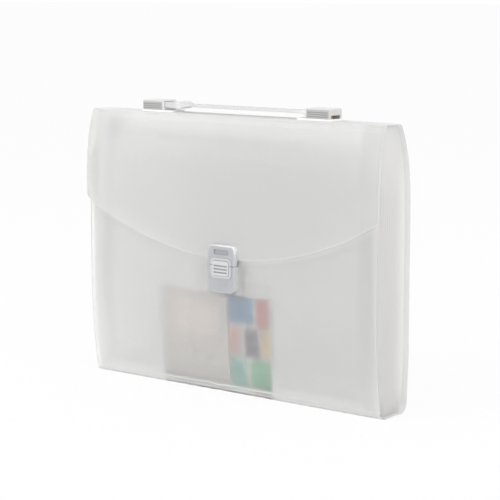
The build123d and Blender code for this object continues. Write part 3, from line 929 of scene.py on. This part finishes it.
cover_film = frosted_film("cover_film", (0.965, 0.965, 0.96), (0.94, 0.94, 0.935), 0.75, 0.95, cover_marks)
flap_film = frosted_film("flap_film", (0.955, 0.955, 0.953), (0.93, 0.93, 0.928), 0.6, 0.95, cover_marks)
cut_edge = frosted_film("cut_edge", (0.99, 0.99, 0.99), (0.97, 0.97, 0.97), 0.1, 0.6, plain_marks)
bellows_film = frosted_film("bellows_film", (0.95, 0.945, 0.93), (0.92, 0.915, 0.90), 0.3, 0.5, pleat_whitening_and_painted_light)
divider_film = frosted_film("divider_film", (0.96, 0.96, 0.96), (0.94, 0.94, 0.94), 0.45, 0.5, tab_marks)
print("nodes in the cover's film:", len(cover_film.node_tree.nodes))

# %% [markdown]
# ## Papers in the front pocket
# A leaflet and a sheet of index labels stand in the front pocket and show through the front panel as
# soft patches. Their printing is plain blocks, mixed in by comparing Object coordinates with the
# blocks' edges, so no picture is needed. A later block lies over an earlier one.

# %% Papers
PRINT_BLUR = 3.2
PAPER_FIBRE = 900.0


def printed_sheet(name, ground, blocks):
    """Card printed with plain blocks: each block is (left, right, low, high, colour), in millimetres."""
    material, wire, place = start_material(name)
    x, _, z = millimetres(wire, place)
    colour = (*ground, 1)
    for left, right, low, high, paint in blocks:
        inside = 1
        for value, start, end in ((x, left, right), (z, low, high)):
            inside = inside * value.step(start - PRINT_BLUR, start + PRINT_BLUR)
            inside = inside * (1 - value.step(end - PRINT_BLUR, end + PRINT_BLUR))
        colour = mix_colour(wire, inside, colour, (*paint, 1))
    fibre = noise(wire, place, PAPER_FIBRE, 3.0)
    sockets = {
        "Base Color": colour,
        "Roughness": 0.55 + fibre * 0.2,
        "Normal": make_bump(wire, fibre, 0.00005),
    }
    finish_material(wire, wire.make("BsdfPrincipled", None, sockets))
    return material


label_blocks = [
    (0.0, 49.0, 0.0, 91.0, (0.46, 0.44, 0.43)),
    (1.0, 29.0, 66.0, 90.0, (0.05, 0.17, 0.30)),
    (33.0, 47.5, 64.0, 90.0, (0.40, 0.12, 0.11)),
    (1.0, 12.0, 38.0, 62.0, (0.46, 0.22, 0.20)),
    (19.0, 35.0, 36.0, 62.0, (0.12, 0.09, 0.13)),
    (38.0, 48.0, 38.0, 60.0, (0.55, 0.40, 0.18)),
    (1.0, 19.0, 0.0, 33.0, (0.13, 0.35, 0.31)),
    (24.0, 48.0, 0.0, 34.0, (0.12, 0.36, 0.20)),
]
leaflet_blocks = [
    (-74.5, -2.5, 0.0, 89.5, (0.50, 0.47, 0.45)),
    (-66.0, -12.0, 50.0, 82.0, (0.58, 0.52, 0.49)),
]
label_card = printed_sheet("label_card", (0.7, 0.7, 0.68), label_blocks)
leaflet_paper = printed_sheet("leaflet_paper", (0.62, 0.60, 0.58), leaflet_blocks)
print(len(label_blocks), "blocks on the labels,", len(leaflet_blocks), "on the leaflet")

# %% [markdown]
# ## Moulded plastics
# The handle and the latch are moulded, with the fine grain of a spark-eroded tool. One recipe serves
# them all, with other colours and roughness. Each part may have marks of its own, found from how far
# out a point lies: one for a painted highlight on raised edges and faces, and one for painted shade in
# hollows. The strap lets some light past, less at its thick ends, which is done with Alpha; its first
# mark is these thick ends, which are also paler.


# %% Moulded plastics
PLASTIC_IOR = 1.46
SPARK_GRAIN = 1500.0
COLOUR_CLOUDS = 60.0
THICK_ALPHA = 0.7


def moulded(name, pale, deep, roughness, marks_of=None, bright=0.9, dull=0.5, alpha=1.0):
    """Injection-moulded plastic; marks_of(x, y, z) gives, from 0 to 1, where a painted highlight goes, on
    the strap its thick ends, and where painted shade goes.
    """
    material, wire, place = start_material(name)
    grain = noise(wire, place, SPARK_GRAIN)
    colour = mix_colour(wire, noise(wire, place, COLOUR_CLOUDS), (*deep, 1), (*pale, 1))
    if marks_of:
        raised, painted_hollow_shade = marks_of(*millimetres(wire, place))
        # Painted shade in the hollows, then a painted highlight on what is raised; on the strap the first
        # mark is its thick ends.
        colour = mix_colour(wire, painted_hollow_shade, colour, tuple(dull * v for v in pale) + (1,))
        colour = mix_colour(wire, raised, colour, (bright, bright, bright, 1))
        if alpha < 1:
            alpha = raised * (THICK_ALPHA - alpha) + alpha
    sockets = {
        "Base Color": colour,
        "Roughness": roughness + grain * 0.1,
        "IOR": PLASTIC_IOR,
        "Alpha": alpha,
        "Normal": make_bump(wire, grain, 0.00002),
    }
    finish_material(wire, wire.make("BsdfPrincipled", None, sockets))
    return material


base_plastic = moulded("base_plastic", (0.94, 0.94, 0.93), (0.91, 0.91, 0.90), 0.4)
inner_plastic = moulded("inner_plastic", (0.80, 0.80, 0.79), (0.76, 0.76, 0.75), 0.45)
print("plain plastics:", base_plastic.name, inner_plastic.name)

# %% [markdown]
# ## The latch's painted light and shade
# The outline of the latch is a rectangle with round corners. How far a point lies from the corners'
# centres tells whether it is on the rim, so one formula marks the rim all the way round. The rim gets
# a painted highlight, strongest along the top, and what lies behind the face gets painted shade.

# %% Latch and button
LATCH_FACE = -25.7
LATCH_CORNER = 5.0
LATCH_RIM = 1.3
BUTTON_FACE = -26.9


def latch_painted_light_and_shade(x, y, z):
    """Painted highlight on the rim along the outline, the ring and the walls, painted shade in the recess.
    """
    middle = (LATCH_TOP + LATCH_LOW) / 2
    over_x = (x.absolute() - (LATCH_HALF_WIDTH - LATCH_CORNER)).larger(0.0)
    over_z = ((z - middle).absolute() - ((LATCH_TOP - LATCH_LOW) / 2 - LATCH_CORNER)).larger(0.0)
    reach = (over_x * over_x + over_z * over_z).root()
    rim = reach.step(LATCH_CORNER - 1.4 * LATCH_RIM, LATCH_CORNER - 0.6 * LATCH_RIM)
    raised = 1 - y.step(LATCH_FACE - 0.5, LATCH_FACE - 0.1)
    # The rim's painted highlight is strongest along the top and grows towards the right.
    top = z.step(LATCH_TOP - 12.4, LATCH_TOP - 2.4) * (x.step(-14.0, 10.0) * 0.3 + 0.5)
    behind = y.step(LATCH_FACE + 0.2, LATCH_FACE + 0.7)
    wall = reach.step(LATCH_CORNER - 0.5 * LATCH_RIM, LATCH_CORNER - 0.2 * LATCH_RIM) * behind
    # Painted highlight on the rim, the ring and the walls; painted shade behind the face.
    bright = strongest([rim * top, rim * 0.15, raised * 0.28, wall * 0.3])
    return bright, behind * (1 - rim)


def button_painted_light_and_shade(x, y, z):
    """Painted highlight on the ribs, with painted shade in the grooves between them."""
    return 1 - y.step(BUTTON_FACE + 0.1, BUTTON_FACE + 0.3), y.step(BUTTON_FACE + 0.2, BUTTON_FACE + 0.5)


latch_plastic = moulded(
    "latch_plastic", (0.46, 0.47, 0.49), (0.42, 0.43, 0.45), 0.3, latch_painted_light_and_shade, bright=0.88, dull=0.78
)
button_plastic = moulded(
    "button_plastic", (0.50, 0.51, 0.53), (0.46, 0.47, 0.49), 0.3, button_painted_light_and_shade, bright=0.62, dull=0.7
)
print("latch from", LATCH_LOW, "to", LATCH_TOP, "mm")

# %% [markdown]
# ## The handle's painted light and shade
# The brackets are grey, with painted shade in the grooves of their sides and painted light that makes
# them nearly white on top and at their ends. They are hollow, and the light that comes in through
# their thin walls is painted on the inner faces.

# %% Brackets and strap
BRACKET_SIDE = 10.0
BRACKET_TOP = 260.3
BRACKET_MOUTH = 81.2
BRACKET_END = 103.8
STRAP_LEFT = -45.0
STRAP_RIGHT = 60.0


def bracket_painted_light_and_shade(x, y, z):
    """Painted light on the top, the ends and the inside, painted shade in the grooves in the sides."""
    across, along = y.absolute(), x.absolute()
    depth = BRACKET_SIDE - across
    grooves = depth.step(0.1, 0.3) * (1 - depth.step(0.5, 0.7))
    mouth = 1 - along.step(BRACKET_MOUTH, BRACKET_MOUTH + 0.2)
    end = along.step(BRACKET_END, BRACKET_END + 1.1)
    top = z.step(BRACKET_TOP - 1.5, BRACKET_TOP)
    inside = 1 - across.step(BRACKET_SIDE - 1.2, BRACKET_SIDE - 0.9)
    inside = inside * (1 - z.step(BRACKET_TOP - 1.1, BRACKET_TOP - 0.8))
    inside = inside * (1 - along.step(BRACKET_END, BRACKET_END + 0.3))
    # Painted light on top, at both ends and inside; painted shade in the grooves.
    return strongest([top * 0.7, mouth * 0.7, end * 0.4, inside]), grooves * 0.8


def strap_marks(x, y, z):
    """The strap's thick ends are bright."""
    return 1 - x.within(STRAP_LEFT, STRAP_RIGHT, 22.0), x * 0.0


handle_plastic = moulded(
    "handle_plastic", (0.48, 0.48, 0.47), (0.43, 0.43, 0.42), 0.25, bracket_painted_light_and_shade, bright=0.86, dull=0.66
)
strap_plastic = moulded(
    "strap_plastic", (0.70, 0.70, 0.70), (0.67, 0.67, 0.67), 0.4, strap_marks, bright=0.86, alpha=0.45
)
print("strap's thin part from", STRAP_LEFT, "to", STRAP_RIGHT, "mm")

# %% [markdown]
# ## Bare metal
# The rivets are brass and the spring is steel. Fine noise in the roughness and the bump stands for
# the marks of drawing and stamping.

# %% Metals
SCRATCHES = 3000.0


def metal(name, colour, roughness):
    """Bare metal with fine scratches."""
    material, wire, place = start_material(name)
    scratches = noise(wire, place, SCRATCHES, 4.0)
    sockets = {
        "Base Color": (*colour, 1),
        "Metallic": 1.0,
        "Roughness": roughness + scratches * 0.15,
        "Normal": make_bump(wire, scratches, 0.00001),
    }
    finish_material(wire, wire.make("BsdfPrincipled", None, sockets))
    return material


rivet_brass = metal("rivet_brass", (0.75, 0.50, 0.22), 0.25)
spring_steel = metal("spring_steel", (0.62, 0.62, 0.62), 0.2)
print("metals:", rivet_brass.name, spring_steel.name)

# %% [markdown]
# ## Dressing the pieces
# Each CAD node names the material slot that it takes its finish from, so one table dresses them all.
# The button and the base plates share a slot with other pieces but look different in the photograph,
# so they have finishes of their own. The new pieces are dressed one by one, and the faces of the
# flap's cut edge, found by their normals, take the second material.

# %% Dress the pieces
finishes = {
    "cover_film": cover_film,
    "bellows_film": bellows_film,
    "divider_film": divider_film,
    "leaflet_paper": leaflet_paper,
    "label_card": label_card,
    "handle_plastic": handle_plastic,
    "inner_plastic": inner_plastic,
    "strap_plastic": strap_plastic,
    "latch_plastic": latch_plastic,
    "rivet_brass": rivet_brass,
    "spring_steel": spring_steel,
}
own_finishes = {
    "latch_button": button_plastic,
    "base_plate_left": base_plastic,
    "base_plate_right": base_plastic,
}
new_pieces = [
    (cover_back, cover_film),
    (cover_flap, flap_film),
    (cover_front, cover_film),
    (bellows_strip, bellows_film),
    (leaf_spring, spring_steel),
]


def dress(piece, finish):
    """Gives a piece one finish."""
    piece.data.materials.clear()
    piece.data.materials.append(finish)


for entry in frame["record"]["subparts"]:
    name = entry["node"]
    dress(nodes[name], own_finishes.get(name, finishes[entry["material_slot"]]))
for piece, finish in new_pieces:
    dress(piece, finish)

start_primitive()
cover_flap.select_set(True)
cover_flap.data.materials.append(cut_edge)
bpy.context.view_layer.objects.active = cover_flap
bpy.ops.object.mode_set(mode="EDIT")
select_faces(cover_flap, lambda centre, normal: abs(normal.y) < 0.8 and normal.z < -0.3)
cover_flap.active_material_index = 1
bpy.ops.object.material_slot_assign()
bpy.ops.object.mode_set(mode="OBJECT")
print(len(nodes), "nodes and", len(new_pieces), "new pieces dressed")

# %% [markdown]
# ## Floor and light
# The picture is a catalogue shot on white: soft light from all sides and no hard shadow. The world
# gives most of it and two large lamps give the pieces a little form. The floor and the world look
# fully white to the camera, also through a clear film, whatever light falls on them, and the floor
# still shows a faint shadow.

# %% Stage and light
WORLD_LIGHT = 0.85
FLOOR_SIZE = 60
FLOOR_GLOW = 0.9
LAMP_AIM = (0, 0, 0.12)
WHITE = (1, 1, 1, 1)


def seen_rays(wire):
    """1 for rays that end in the camera's picture, also by way of a glossy or a clear surface."""
    camera, glossy, clear = (
        wire.make("LightPath", out=f"Is {ray} Ray") for ray in ("Camera", "Glossy", "Transmission")
    )
    return camera.larger(glossy).larger(clear)


def add_floor():
    """A wide white floor that shows white to the camera but keeps a little shadow."""
    start_primitive()
    bpy.ops.mesh.primitive_plane_add(size=FLOOR_SIZE, location=(0, 0, 0))
    floor = bpy.context.object
    floor.name = "floor"
    material, wire, _ = start_material("floor")
    plain = wire.make("BsdfDiffuse", None, {"Color": (0.9, 0.9, 0.9, 1)})
    white = wire.make("Emission", None, {"Color": WHITE, "Strength": 1.0})
    glow = seen_rays(wire) * FLOOR_GLOW
    finish_material(wire, wire.make("MixShader", None, {0: glow, 1: plain, 2: white}))
    floor.data.materials.append(material)
    return floor


def add_world():
    """A white surround; the camera and clear films see it at full strength."""
    world = bpy.data.worlds.new("studio")
    bpy.context.scene.world = world
    world.use_nodes = True
    world.node_tree.nodes.clear()
    wire = Wire(world.node_tree)
    strength = seen_rays(wire) * (1 - WORLD_LIGHT) + WORLD_LIGHT
    sky = wire.make("Background", None, {"Color": WHITE, "Strength": strength})
    wire.make("OutputWorld", None, {"Surface": sky})


def add_softbox(name, place, size, power):
    """A square area lamp that faces the case."""
    data = bpy.data.lights.new(name, "AREA")
    data.shape = "SQUARE"
    data.size = size
    data.energy = power
    lamp = bpy.data.objects.new(name, data)
    lamp.location = place
    lamp.rotation_mode = "QUATERNION"
    lamp.rotation_quaternion = (Vector(place) - Vector(LAMP_AIM)).to_track_quat("Z", "Y")
    bpy.context.collection.objects.link(lamp)
    return lamp


add_floor()
add_world()
add_softbox("key", place=(-0.95, -1.1, 0.95), size=0.9, power=7.5)
add_softbox("fill", place=(1.8, -0.6, 0.9), size=1.2, power=12.0)
scene = bpy.context.scene
scene.view_settings.view_transform = "Standard"
